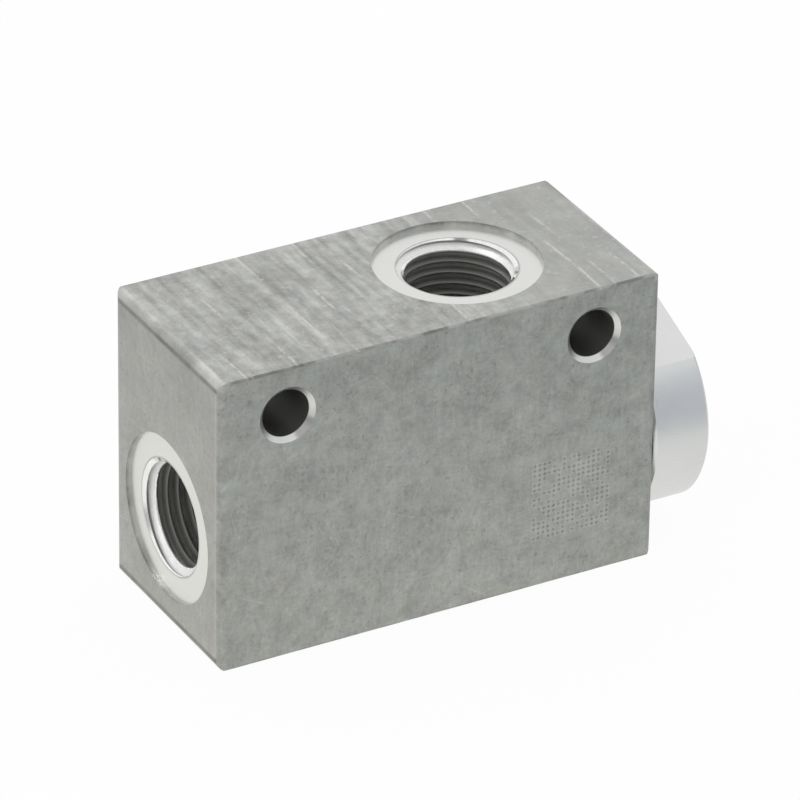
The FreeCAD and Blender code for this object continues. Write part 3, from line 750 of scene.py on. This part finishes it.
def thread_ridges(name, sizes, root_radius, length):
    """The ridges of one port, with the port's mouth at z = 0 and its axis on Z."""
    start_clean()
    obj = ridge_section(sizes, root_radius)
    obj.name = name
    turns = math.ceil(length / sizes.pitch)
    apply_modifier(obj, "SCREW", axis="Z", screw_offset=sizes.pitch, iterations=turns,
                   steps=sizes.steps, render_steps=sizes.steps)
    bpy.ops.object.mode_set(mode="EDIT")
    bpy.ops.mesh.select_all(action="SELECT")
    bpy.ops.transform.translate(value=(0, 0, 0.5 * sizes.pitch - turns * sizes.pitch))
    bpy.ops.mesh.select_all(action="DESELECT")
    bpy.ops.mesh.select_mode(type="EDGE")
    bpy.ops.mesh.select_non_manifold()
    bpy.ops.mesh.fill_holes(sides=0)
    bpy.ops.mesh.select_all(action="SELECT")
    bpy.ops.mesh.normals_make_consistent(inside=False)
    bpy.ops.mesh.bisect(plane_co=(0, 0, 0), plane_no=(0, 0, 1), clear_outer=True, use_fill=True,
                        threshold=1e-8)
    bpy.ops.object.mode_set(mode="OBJECT")
    return obj


def cut_mouth(obj, sizes):
    """Cuts the countersink into the first ridges."""
    start_clean()
    depth = sizes.mouth_radius - sizes.crest_radius + CUTTER_INSIDE
    bpy.ops.mesh.primitive_cone_add(
        vertices=2 * sizes.steps, radius1=sizes.mouth_radius - depth,
        radius2=sizes.mouth_radius + CUTTER_OUTSIDE, depth=depth + CUTTER_OUTSIDE,
        location=(0, 0, (CUTTER_OUTSIDE - depth) / 2))
    cutter = bpy.context.object
    bpy.ops.object.transform_apply(location=True, rotation=True, scale=True)
    apply_modifier(obj, "BOOLEAN", object=cutter, operation="DIFFERENCE", solver="EXACT")
    bpy.data.objects.remove(cutter)


def paint_mouth(obj):
    """Gives the countersink the second of a thread's metals, and the first thread the third, a
    lighter copy of the thread's metal that paints light on it.
    """
    for polygon in obj.data.polygons:
        centre, normal = polygon.center, polygon.normal
        inward = -(centre.x * normal.x + centre.y * normal.y)
        on_cone = abs(normal.z - CONE_SLOPE) < SLOPE_SPREAD and inward > 0
        if centre.z > -FIRST_THREAD:
            polygon.material_index = 1 if on_cone else 2


def cut_metal(name, colour, low, high, metallic, crest=1.0, root=1.0):
    """Freshly cut metal, with the ends of its roughness and the tones of its crests and roots,
    which paint shade on the crests and light in the roots where they differ from 1.
    """
    material, pen, shader = new_material(name)
    place, _ = surface(pen)
    x, y, z = pen.split(place)
    grain = pen.place("grain", Vector=place, Patch=3.0, Grain=0.25)
    # The last tone paints shade on the crests and light in the roots, by the distance from the
    # thread's radius.
    tone = pen.tone(colour, pen.swing(grain["Cloud"], 0.16), pen.swing(grain["Grain"], 0.12),
                    pen.ramp(port_gap(pen, x, y, z), -0.38, 0.0, crest, root))
    pen.feed(shader.inputs["Base Color"], tone)
    shader.inputs["Metallic"].default_value = metallic
    pen.feed(shader.inputs["Roughness"], pen.ramp(grain["Cloud"], 0.3, 0.7, low, high))
    return material


class VALVE_OT_port_threads(bpy.types.Operator):
    """Cuts the threads of the three ports"""

    bl_idname = "valve.port_threads"
    bl_label = "Cut the port threads"

    def execute(self, context):
        sizes = context.scene.thread_sizes
        metals = [
            # The thread's metal, with painted shade on its crests and painted light in its roots.
            cut_metal("cut_thread", (0.36, 0.36, 0.34), 0.40, 0.52, 0.70, 0.60, 1.70),
            cut_metal("bright_countersink", (0.88, 0.88, 0.88), 0.10, 0.20, 1.0),
            # The first thread: the thread's metal painted far lighter and less metallic, as painted
            # light.
            cut_metal("satin_first_thread", (0.86, 0.86, 0.85), 0.44, 0.58, 0.35),
        ]
        for port in ("inlet_port", "outlet_port", "exhaust_port"):
            mount = MOUNTS[port]
            dims = mount["dims"]
            obj = thread_ridges(f"{port}_thread", sizes, dims["r_mm"] * MM, dims["length_mm"] * MM)
            cut_mouth(obj, sizes)
            obj.data.materials.clear()
            for metal in metals:
                obj.data.materials.append(metal)
            paint_mouth(obj)
            pick(obj)
            bpy.ops.object.shade_smooth_by_angle(angle=SMOOTH_ANGLE)
            turn = Vector(mount["axis"]).to_track_quat("Z", "Y").to_matrix().to_4x4()
            obj.data.transform(Matrix.Translation(mount["pos_m"]) @ turn)
            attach(obj, "housing")
        return {"FINISHED"}


# Each finish: its colour, a second colour in patches, how metallic it is, the ends of its
# roughness, and the strength of its tool lines.
FINISHES = {
    "moulded_rubber": ((0.020, 0.020, 0.021), (0.034, 0.034, 0.035), 0.0, 0.48, 0.66, 0.0),
    "turned_brass": ((0.74, 0.55, 0.29), (0.60, 0.42, 0.20), 1.0, 0.20, 0.34, 0.16),
    "natural_acetal": ((0.80, 0.80, 0.77), (0.74, 0.74, 0.71), 0.0, 0.36, 0.50, 0.0),
    "spring_steel": ((0.42, 0.42, 0.43), (0.28, 0.27, 0.27), 1.0, 0.24, 0.40, 0.08),
}
INNER_PIECES = {
    "cap_o_ring": "moulded_rubber",
    "lip_seal": "moulded_rubber",
    "exhaust_disc": "moulded_rubber",
    "spindle": "turned_brass",
    "support_washer": "turned_brass",
    "disc_retainer": "turned_brass",
    "winged_guide": "natural_acetal",
    "retaining_clip": "spring_steel",
}


def inner_material(name):
    """One of the finishes above, with patches, fine grain and tool lines."""
    colour, patch, metallic, low, high, tooled = FINISHES[name]
    material, pen, shader = new_material(name)
    place, normal = surface(pen)
    x, y, z = pen.split(place)
    lines = turned_lines(pen, normal, x, axis_radius(pen, y, z), 0.09)
    grain = pen.place("grain", Vector=place, Patch=2.2, Grain=0.12)
    skin = pen.mix(pen.ramp(grain["Cloud"], 0.40, 0.70), colour, patch)
    skin = pen.tone(skin, pen.swing(lines, tooled), pen.swing(grain["Grain"], 0.08))
    pen.feed(shader.inputs["Base Color"], skin)
    shader.inputs["Metallic"].default_value = metallic
    pen.feed(shader.inputs["Roughness"], pen.ramp(grain["Cloud"], 0.3, 0.7, low, high))
    relief = pen.plus(pen.times(lines, tooled * 4), pen.times(grain["Grain"], 0.4))
    add_bump(pen, shader, relief, 0.006)
    return material


class VALVE_OT_inner_finishes(bpy.types.Operator):
    """Gives the shuttle's pieces and the ring their finishes"""

    bl_idname = "valve.inner_finishes"
    bl_label = "Finish the inner pieces"

    def execute(self, context):
        materials = {name: inner_material(name) for name in FINISHES}
        for node, name in INNER_PIECES.items():
            finish_node(node, materials[name])
        return {"FINISHED"}


SENSOR_WIDTH = 36
LAMP_DISTANCE = 0.9
FLOOR_SIZE = 4
WHITE = (1, 1, 1)

# The softboxes, which no reflection sees: where each stands, its size and its setting.
SOFTBOXES = {
    "top_softbox": ((0.1, 0.2, 1.0), 0.9, "top_power"),
    "left_softbox": ((-1.0, -0.3, 0.5), 0.6, "left_power"),
}
# The small lamps that only reflections see, and their size.
GLINTS = {
    "thread_glint": (-0.19, 0.36, 0.91),
    "inlet_glint": (-0.97, 0.24, 0.02),
}
GLINT_SIZE = 0.12

# The light that the studio throws on the valve.
FILL = (0.62, 0.62, 0.62)
# Parts of the studio that reflections see darker: where each lies, the cosines of its edge and of
# its core, and its colour.
DIM_PARTS = [
    ((0.43, -0.90, 0.05), 0.50, 1.00, (0.575, 0.60, 0.635)),
    ((-0.88, -0.46, 0.00), 0.82, 0.97, (0.52, 0.53, 0.52)),
    ((0.04, 0.08, 1.00), 0.925, 0.975, (0.22, 0.22, 0.22)),
    ((-0.30, -0.40, 0.87), 0.980, 0.992, (0.25, 0.25, 0.26)),
]
# The painted pool of light that reflections see on the floor: the middle of its bright part and how
# far it falls off, in millimetres, and its colours from there to the horizon.
POOL_X, POOL_Y = -25.0, 10.0
POOL_START, POOL_END = 20.0, 150.0
POOL_BRIGHT, POOL_DIM = (0.98, 0.975, 0.945), (0.61, 0.63, 0.65)


def add_camera(stage):
    """The camera at the photograph's angle."""
    turn = (Matrix.Rotation(stage.azimuth, 4, "Z")
            @ Matrix.Rotation(math.pi / 2 - stage.elevation, 4, "X")
            @ Matrix.Rotation(stage.roll, 4, "Z"))
    camera_data = bpy.data.cameras.new("camera")
    camera_data.lens = stage.lens
    camera_data.sensor_width = SENSOR_WIDTH
    camera_data.clip_start = 0.01
    camera_data.clip_end = 20
    camera = bpy.data.objects.new("camera", camera_data)
    stand = Vector(stage.aim) + turn.to_3x3() @ Vector((0, 0, stage.distance))
    camera.matrix_world = Matrix.Translation(stand) @ turn
    bpy.context.scene.collection.objects.link(camera)
    bpy.context.scene.camera = camera


def add_lamp(name, direction, size, power):
    """A square softbox that shines at the valve from a direction."""
    lamp_data = bpy.data.lights.new(name, "AREA")
    lamp_data.size = size
    lamp_data.energy = power
    lamp = bpy.data.objects.new(name, lamp_data)
    towards = Vector(direction).normalized()
    turn = towards.to_track_quat("Z", "Y").to_matrix().to_4x4()
    lamp.matrix_world = Matrix.Translation(towards * LAMP_DISTANCE) @ turn
    bpy.context.scene.collection.objects.link(lamp)
    return lamp


def add_world():
    """A white studio whose darker parts only reflections see."""
    world = bpy.data.worlds.new("studio")
    bpy.context.scene.world = world
    pen = emptied_tree(world)
    path = pen.add("ShaderNodeLightPath").outputs
    direction = pen.add("ShaderNodeTexCoord").outputs["Generated"]
    reflected = WHITE
    for centre, edge, core, colour in DIM_PARTS:
        towards = pen.work("ShaderNodeVectorMath", "DOT_PRODUCT", direction,
                           Vector(centre).normalized())["Value"]
        reflected = pen.mix(pen.ramp(towards, edge, core), reflected, colour)
    seen = pen.math("MAXIMUM", path["Is Glossy Ray"], path["Is Transmission Ray"])
    colour = pen.mix(path["Is Camera Ray"], pen.mix(seen, FILL, reflected), WHITE)
    background = pen.add("ShaderNodeBackground", Color=colour, Strength=1.0)
    pen.add("ShaderNodeOutputWorld", Surface=background.outputs[0])


def add_floor():
    """A pale floor that keeps the valve's shadow; reflections see a painted pool of light on it
    that falls off with distance.
    """
    start_clean()
    bpy.ops.mesh.primitive_plane_add(size=FLOOR_SIZE, location=(0, 0, BLOCK_LOW[2]))
    floor = bpy.context.object
    floor.name = "floor"
    material = bpy.data.materials.new("floor_paper")
    pen = emptied_tree(material)
    path = pen.add("ShaderNodeLightPath").outputs
    seen = pen.math("MAXIMUM", path["Is Camera Ray"], path["Is Glossy Ray"])
    seen = pen.math("MAXIMUM", seen, path["Is Transmission Ray"])
    place, _ = surface(pen)
    x, y, _ = pen.split(place)
    away = pen.length(pen.minus(x, POOL_X), pen.minus(y, POOL_Y))
    reflected = pen.mix(pen.ramp(away, POOL_START, POOL_END), POOL_BRIGHT, POOL_DIM)
    glow_colour = pen.mix(path["Is Glossy Ray"], WHITE, reflected)
    paper = pen.add("ShaderNodeBsdfDiffuse", Color=(0.9, 0.9, 0.9))
    glow = pen.add("ShaderNodeEmission", Color=glow_colour, Strength=1.0)
    mixed = pen.add("ShaderNodeMixShader")
    pen.feed(mixed.inputs[0], pen.times(seen, 0.95))
    pen.feed(mixed.inputs[1], paper.outputs[0])
    pen.feed(mixed.inputs[2], glow.outputs[0])
    pen.add("ShaderNodeOutputMaterial", Surface=mixed.outputs[0])
    floor.data.materials.append(material)


class VALVE_OT_stage(bpy.types.Operator):
    """Sets up the floor, the light and the camera"""

    bl_idname = "valve.stage"
    bl_label = "Set the stage"

    def execute(self, context):
        stage = context.scene.stage_settings
        context.scene.view_settings.view_transform = "Standard"
        add_camera(stage)
        add_world()
        add_floor()
        for name, (direction, size, power) in SOFTBOXES.items():
            add_lamp(name, direction, size, getattr(stage, power)).visible_glossy = False
        for name, direction in GLINTS.items():
            add_lamp(name, direction, GLINT_SIZE, stage.glint_power).visible_diffuse = False
        return {"FINISHED"}


OPERATORS = [
    VALVE_OT_port_threads,
    VALVE_OT_block_finish,
    VALVE_OT_cap_finish,
    VALVE_OT_inner_finishes,
    VALVE_OT_stage,
]


class VALVE_PT_panel(bpy.types.Panel):
    """Lists the valve's tools"""

    bl_label = "Quick exhaust valve"
    bl_idname = "VALVE_PT_panel"
    bl_space_type = "VIEW_3D"
    bl_region_type = "UI"
    bl_category = "Valve"

    def draw(self, context):
        for operator in OPERATORS:
            self.layout.operator(operator.bl_idname)


SETTINGS = {
    "thread_sizes": ThreadSizes,
    "block_finish": BlockFinish,
    "stage_settings": StageSettings,
}
CLASSES = [*SETTINGS.values(), *OPERATORS, VALVE_PT_panel]


def register():
    for cls in CLASSES:
        bpy.utils.register_class(cls)
    for name, group in SETTINGS.items():
        setattr(bpy.types.Scene, name, bpy.props.PointerProperty(type=group))


def unregister():
    for name in SETTINGS:
        delattr(bpy.types.Scene, name)
    for cls in reversed(CLASSES):
        bpy.utils.unregister_class(cls)


def main():
    register()
    for operator in OPERATORS:
        group, name = operator.bl_idname.split(".")
        getattr(getattr(bpy.ops, group), name)()


if __name__ == "__main__":
    main()
